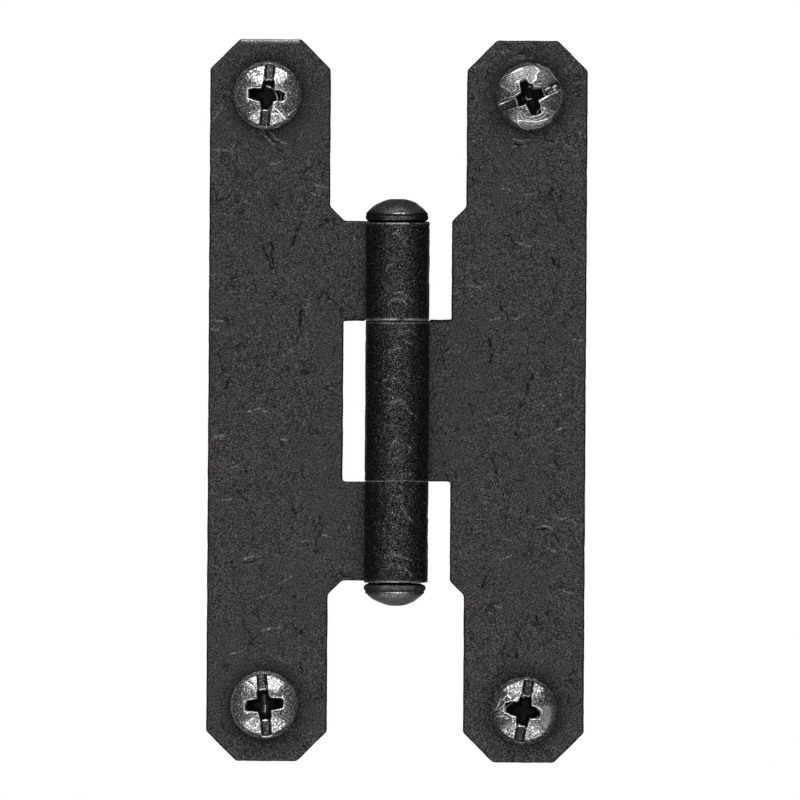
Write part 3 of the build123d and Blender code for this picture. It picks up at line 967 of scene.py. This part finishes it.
def worn_steel():
    """Dark plated steel, worn bright where the driver has slipped, with painted highlights along edges and
    ridges and painted shade in the recess.
    """
    material, tree, shader, place = new_material("worn screw steel")
    grain = add(tree, "ShaderNodeGroup", {
        "Vector": place, "Grain Size": 0.00016, "Blotch Size": 0.0016, "Crack Size": 0.0012},
        node_tree=grain_group).outputs
    speckle, blotch = grain["Speckle"], grain["Blotch"]
    recess, smear = attribute(tree, "recess"), attribute(tree, "smear")
    plain = blend(speckle, colour(0.12, 0.12, 0.121), colour(0.27, 0.268, 0.27))
    plain = blend(times(blotch, 0.35), plain, colour(0.11, 0.109, 0.111))
    # Painted glints: small bright flecks; then small dark pits
    glints_and_pits = add(tree, "ShaderNodeTexNoise", {"Vector": place, "Scale": 5500.0, "Detail": 0.0}).outputs[0]
    for low, high, tone in ((0.61, 0.73, 0.65), (0.38, 0.28, 0.02)):
        plain = blend(ramp(glints_and_pits, low, high, kind="LINEAR"), plain, grey(tone))
    smeared = blend(speckle, grey(0.1), grey(0.5))
    plain = blend(larger(smear, 0.0), plain, smeared)
    dulled = blend(speckle, grey(0.012), grey(0.13))
    plain = blend(larger(times(smear, -1.0), 0.0), plain, dulled)
    plain = blend(attribute(tree, "tone"), grey(0.003), plain)
    # Painted shade: the slot and the cross recess near black
    plain = blend(times(recess, 0.98), plain, grey(0.003))
    # Worn bright metal, with painted highlight along the recess's lips, the slot's edges, ridges and the
    # smeared patches' outlines
    bare_and_painted_highlight = blend(attribute(tree, "shine"), plain, grey(0.82))
    dull = larger(recess, times(sums("ABSOLUTE", smear), 0.8))
    dull = plus(times(blotch, 0.3), dull)
    drawn = add(tree, "ShaderNodeMapping", {
        "Vector": place, "Rotation": (0.0, 0.7, 0.0), "Scale": (14.0, 1.0, 1.0)}).outputs[0]
    streaks = add(tree, "ShaderNodeTexNoise", {"Vector": drawn, "Scale": 420.0, "Detail": 2.0}).outputs[0]
    height = plus(grain["Height"], times(streaks, 0.8))
    relief = add(tree, "ShaderNodeBump", {"Strength": 1.0, "Distance": 0.000014, "Height": height}).outputs[0]
    fill(tree, shader, {
        "Base Color": bare_and_painted_highlight, "Metallic": 0.8, "Specular IOR Level": 0.2,
        "Roughness": ramp(dull, 0.0, 1.2, 0.1, 0.6, "LINEAR"), "Normal": relief})
    return material


screw_steel = worn_steel()
screw_tree = thread_tree()
# Each head: its place, the turn of its slot, its seed and its tone; bites out of the recess (place, size,
# depth, less than zero for metal left standing); strokes (line, width, lift, brightness of worn metal and
# painted highlight); and smeared patches (corners, tone, brightness of the painted highlight on the outline),
# all in millimetres
screws = (
    ("upper_left_screw", "frame_side", -16.2, 37.5, 5.0, 11.0, 1.0,
     [((1.35, 0.2), 0.35, 0.3), ((-1.9, 0.5), 0.4, 0.12), ((2.3, -0.3), 0.5, -0.35),
      ((1.2, -0.9), 0.4, -0.3)],
     [([(-0.1, 1.15), (0.4, 1.0), (0.9, 0.55), (1.2, -0.1), (1.25, -0.7), (0.6, -1.3), (0.3, -1.75)],
       0.08, 0.12, 0.85),
      ([(0.5, -1.7), (0.9, -1.55), (1.2, -1.7)], 0.05, 0.06, 0.8),
      ([(0.5, -2.0), (0.9, -1.82), (1.35, -2.0)], 0.05, -0.05, -0.8),
      ([(0.6, -2.35), (1.1, -2.15), (1.5, -2.35)], 0.05, 0.05, 0.7),
      ([(0.7, -2.7), (1.1, -2.5), (1.5, -2.7)], 0.05, -0.05, -0.7),
      ([(1.2, -1.7), (2.35, -2.95), (2.8, -2.9)], 0.06, 0.04, 0.95),
      ([(2.7, -2.35), (3.55, -1.65)], 0.07, 0.05, 1.0),
      ([(-2.26, 2.5), (-1.7, 3.05), (-1.1, 2.85), (-1.4, 2.4)], 0.08, -0.08, -0.9),
      ([(1.85, 0.3), (2.2, 0.35), (2.45, -0.1), (2.3, -0.7), (1.9, -0.8)], 0.07, 0.05, 0.6),
      ([(1.5, 0.5), (1.75, 0.0), (1.6, -0.6)], 0.06, 0.06, 0.7),
      ([(-2.45, 0.8), (-2.5, 0.0), (-2.4, -0.7)], 0.15, 0.03, 1.0),
      ([(-3.6, 1.0), (-3.8, 0.0), (-3.6, -1.2)], 0.07, 0.0, 0.35)],
     [([(1.2, 3.0), (2.3, 2.7), (2.6, 2.0), (1.0, 1.7), (0.9, 2.6)], 0.35, 0.0)]),
    ("lower_left_screw", "frame_side", -16.12, -37.5, -5.5, 23.0, 1.0,
     [((-1.9, 0.3), 0.5, 0.1), ((2.0, 0.3), 0.5, 0.1)],
     [([(-2.45, 0.45), (-2.3, 0.2)], 0.14, 0.03, 1.0), ([(-2.3, -0.8), (-2.1, -1.0)], 0.14, 0.03, 1.0),
      ([(2.3, 1.0), (2.45, 0.75)], 0.14, 0.03, 1.0), ([(2.5, -0.2), (2.45, -0.4)], 0.12, 0.03, 0.9),
      ([(0.0, 1.1), (0.05, 0.3)], 0.13, 0.3, 0.15), ([(0.15, -0.1), (0.1, -0.9)], 0.13, 0.3, 0.8),
      ([(-3.5, 2.0), (-3.95, 0.8), (-3.95, -0.8), (-3.6, -1.8)], 0.06, 0.0, 0.7),
      ([(-3.4, -2.2), (-2.9, -2.8), (-2.1, -3.4)], 0.2, 0.0, 0.3),
      ([(-0.25, -3.85), (0.35, -4.0), (1.2, -3.75)], 0.07, 0.05, 0.8),
      ([(3.2, 2.3), (3.8, 1.2)], 0.06, 0.0, 0.4), ([(2.9, -2.6), (3.6, -1.4)], 0.06, 0.0, 0.4),
      ([(-2.0, 2.9), (-1.2, 2.2), (-0.9, 1.6)], 0.05, -0.04, -0.6),
      ([(1.4, 2.4), (2.2, 2.9)], 0.05, -0.04, -0.6)],
     []),
    ("upper_right_screw", "door_side", 16.12, 37.58, 70.0, 37.0, 0.64,
     [((-0.7, 1.4), 0.5, 0.3), ((0.8, -1.6), 0.6, 0.35), ((1.9, 0.7), 0.5, -0.3),
      ((-1.9, -0.7), 0.6, -0.2)],
     [([(-1.6, 1.65), (-0.75, 2.0)], 0.08, 0.06, 1.0),
      ([(-0.1, 1.25), (0.5, 0.9), (1.5, 1.1), (2.2, 1.4)], 0.07, 0.08, 0.9),
      ([(-1.5, 0.25), (-1.95, -0.2), (-4.0, -1.15)], 0.07, 0.05, 0.8),
      ([(1.2, -0.7), (2.05, -0.1), (3.6, 0.8)], 0.06, 0.06, 0.7),
      ([(1.95, 0.8), (2.05, 0.95), (2.4, 1.1)], 0.1, 0.05, 0.9),
      ([(2.85, 1.1), (3.15, 1.35)], 0.09, 0.05, 0.8), ([(2.3, 0.42), (2.65, 0.55)], 0.08, 0.05, 0.9),
      ([(2.95, 0.65), (3.1, 0.9)], 0.08, 0.05, 0.7),
      ([(1.8, 1.35), (2.6, 1.5), (3.4, 1.55)], 0.08, -0.1, -0.9),
      ([(1.9, 0.5), (2.7, 0.5), (3.3, 0.7)], 0.08, -0.1, -0.9),
      ([(-1.3, -1.9), (-0.9, -2.7), (0.2, -3.0), (1.4, -2.7), (2.1, -2.1)], 0.07, 0.06, 0.4),
      ([(-0.9, -2.0), (-0.5, -2.5), (0.3, -2.6), (1.2, -2.3)], 0.06, 0.06, 0.35),
      ([(-0.5, -1.9), (0.0, -2.3), (0.7, -2.2)], 0.06, -0.08, -0.9),
      ([(0.9, -2.0), (1.2, -1.5), (1.6, -2.0), (1.9, -1.5)], 0.06, 0.06, 0.8),
      ([(-0.5, -0.1), (-0.3, -0.4), (0.1, -0.3)], 0.06, 0.2, 0.7),
      ([(0.9, 3.9), (2.3, 3.2), (3.3, 2.0)], 0.06, 0.0, 0.6),
      ([(3.9, 0.6), (3.8, -0.8), (3.2, -2.0)], 0.06, 0.0, 0.45)],
     [([(-3.6, 1.2), (-3.7, 1.8), (-3.2, 2.45), (-2.2, 2.9), (-0.9, 3.55), (0.05, 3.85), (0.7, 3.6),
        (1.1, 3.2), (0.7, 2.6), (0.7, 2.2), (0.1, 1.5), (-0.2, 1.8), (-0.6, 2.2), (-1.6, 1.8), (-1.8, 1.6),
        (-1.7, 0.85), (-2.2, 0.5), (-2.6, 0.65), (-2.9, 0.9)], 0.7, 0.85),
      ([(-1.3, -2.0), (-1.4, -2.9), (0.85, -3.1), (2.8, -2.3), (2.6, -1.7), (1.4, -1.5),
        (-0.6, -1.6)], -0.6, 0.0),
      ([(-1.45, -3.4), (-1.4, -2.95), (-0.5, -3.05), (0.85, -3.15), (2.0, -2.85), (2.9, -2.25),
        (2.4, -3.1), (1.2, -3.8), (-0.2, -4.0), (-1.1, -3.85)], 1.0, 0.7),
      ([(1.6, -1.3), (3.1, -1.9), (2.8, -2.3), (1.9, -1.9)], 0.7, 0.7),
      ([(0.9, 3.9), (0.8, 2.2), (0.5, 1.5), (2.5, 1.8), (4.1, 2.2), (3.0, 3.4)], -0.7, 0.0),
      ([(-2.8, -1.9), (-1.55, -1.9), (-1.55, -3.4), (-3.0, -3.0)], -0.4, 0.0)]),
    ("lower_right_screw", "door_side", 15.88, -38.06, 9.0, 51.0, 0.67,
     [((-1.4, 0.9), 0.6, 0.4), ((2.5, 0.2), 0.5, -0.45), ((1.7, 0.7), 0.4, -0.15)],
     [([(2.95, 0.2), (3.0, -0.7), (2.7, -1.6)], 0.55, 0.0, 0.2),
      ([(1.85, 0.3), (2.05, 0.1)], 0.2, 0.05, 1.0), ([(1.65, -0.75), (2.0, -1.0)], 0.08, 0.05, 0.9),
      ([(-0.15, 1.8), (-0.1, 1.75)], 0.1, 0.1, 1.0), ([(-0.6, -1.7), (-0.55, -1.75)], 0.1, 0.1, 1.0),
      ([(-2.65, 1.33), (-2.3, 1.73)], 0.06, 0.05, 1.0), ([(-2.1, 1.93), (-1.7, 1.5)], 0.06, 0.05, 0.9),
      ([(-3.5, 0.1), (-2.9, 1.4)], 0.09, 0.04, 0.5), ([(-3.2, 0.7), (-2.5, 1.0)], 0.05, -0.06, -0.9),
      ([(-3.1, 0.2), (-2.5, 0.75)], 0.05, 0.05, 0.8), ([(-3.0, -0.15), (-2.4, 0.35)], 0.05, -0.06, -0.9),
      ([(-3.2, -0.3), (-2.7, 0.0), (-2.4, -0.2)], 0.05, 0.05, 0.8),
      ([(-2.9, -0.6), (-2.2, -0.3)], 0.05, -0.06, -0.9),
      ([(-3.4, -0.7), (-2.5, -0.6), (-2.0, -0.9)], 0.06, 0.05, 0.7),
      ([(-2.8, -0.9), (-2.1, -1.1)], 0.05, -0.06, -0.8),
      ([(-0.9, 1.5), (-2.3, 0.4), (-2.3, -0.15), (-1.5, -0.7), (-1.35, -1.3)], 0.07, 0.04, 0.7),
      ([(-1.9, -2.9), (-1.2, -2.2)], 0.05, -0.05, -0.7), ([(1.0, -2.9), (1.9, -2.2)], 0.05, 0.04, 0.5)],
     [([(2.15, 0.45), (3.0, 0.75), (3.4, -0.3), (3.2, -1.4), (2.7, -2.3), (1.8, -1.3),
        (1.95, -0.6)], 0.9, 0.0)]),
)
for node, body, x, z, slot_turn, seed, tone, bites, strokes, patches in screws:
    head, faces, values = screw_head(slot_turn, seed, tone, bites, strokes, patches)
    points = np.column_stack((x + head[:, 0], -sheet_thickness - head[:, 2], z + head[:, 1]))
    piece = mesh_object("worn_" + node, points, faces, values)
    grown(piece, screw_tree, {
        "Thread Radius": 2.08 * MM, "Core Radius": 1.35 * MM, "Neck Radius": 1.78 * MM, "Pitch": 1.75 * MM,
        "Neck Length": 2.3 * MM, "Length": 16.0 * MM, "Point Length": 3.8 * MM,
        "Start Depth": -2.0 * MM, "Around": 49, "Rows": 220,
        "Centre": Vector((x, 0.0, z)) * MM, "Material": screw_steel})
    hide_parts(node)
    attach(piece, body)

# The studio.
# A pale floor under the standing hinge, a large soft box above and one below in
# front of it, dark at both sides, and a white background, which the metal sees straight
# behind it. The camera looks square on.
floor_z = cad_box[0][2] - 0.02 * MM


def floor_material():
    material, tree, shader, place = new_material("pale floor")
    mottle = add(tree, "ShaderNodeTexNoise", {"Vector": place, "Scale": 40.0}).outputs[0]
    fill(tree, shader, {"Base Color": blend(mottle, grey(0.80), grey(0.84)), "Roughness": 0.9})
    return material


bpy.ops.mesh.primitive_plane_add(size=3.0, location=(0, 0, floor_z))
floor = bpy.context.object
floor.name = "floor"
floor.data.materials.append(floor_material())
floor.visible_glossy = False
floor.visible_diffuse = False
floor.visible_shadow = False


def soft_box(name, distance, near, far, radiance, up):
    """A level panel over or under the object that glows towards it."""
    light = bpy.data.lights.new(name, "AREA")
    light.shape = "RECTANGLE"
    light.size, light.size_y = 1.8 * distance, (far - near) * distance
    light.energy = radiance * math.pi * light.size * light.size_y
    lamp = bpy.data.objects.new(name, light)
    bpy.context.collection.objects.link(lamp)
    lamp.location = (0, -(near + far) / 2 * distance, up * distance)
    lamp.rotation_euler = (0 if up > 0 else math.pi, 0, 0)
    lamp.visible_camera = False
    return lamp


soft_box("upper soft box", 0.6, 0.32, 1.6, 5.4, 1)
soft_box("lower soft box", 0.25, 0.32, 1.6, 3.1, -1)

world = bpy.data.worlds.new("studio")
bpy.context.scene.world = world
world.use_nodes = True
tree = world.node_tree
ray = add(tree, "ShaderNodeLightPath").outputs
seen_white = larger(ray["Is Camera Ray"], ray["Is Transmission Ray"])
way = add(tree, "ShaderNodeSeparateXYZ", {0: add(tree, "ShaderNodeTexCoord").outputs["Generated"]})
front = larger(times(way.outputs[1], -1.0), 0.0)
behind = sums("POWER", larger(way.outputs[1], 0.0), 8.0)
front_glow, side_glow = 1.25, 0.05
glow = larger(times(sums("POWER", front, 4.0), front_glow), side_glow)
glow = times(larger(glow, behind), minus(1.0, seen_white))
fill(tree, tree.nodes["Background"], {
    "Color": colour(1, 1, 1), "Strength": plus(glow, seen_white)})

picture_width, picture_pixels = 98.44 * MM, 800
pixel = picture_width / picture_pixels
lens = bpy.data.cameras.new("camera")
lens.type = "ORTHO"
lens.ortho_scale = picture_width
lens.clip_start, lens.clip_end = 0.01, 10
camera = bpy.data.objects.new("camera", lens)
bpy.context.collection.objects.link(camera)
lean, aim_right, distance, aim_up = math.radians(0.37), 3.0 * pixel, 0.5, 0.9 * pixel
square_on = Matrix.Rotation(math.radians(90), 4, "X") @ Matrix.Rotation(lean, 4, "Z")
camera.matrix_world = Matrix.Translation((aim_right, -distance, aim_up)) @ square_on
bpy.context.scene.camera = camera
bpy.context.scene.view_settings.view_transform = "Standard"
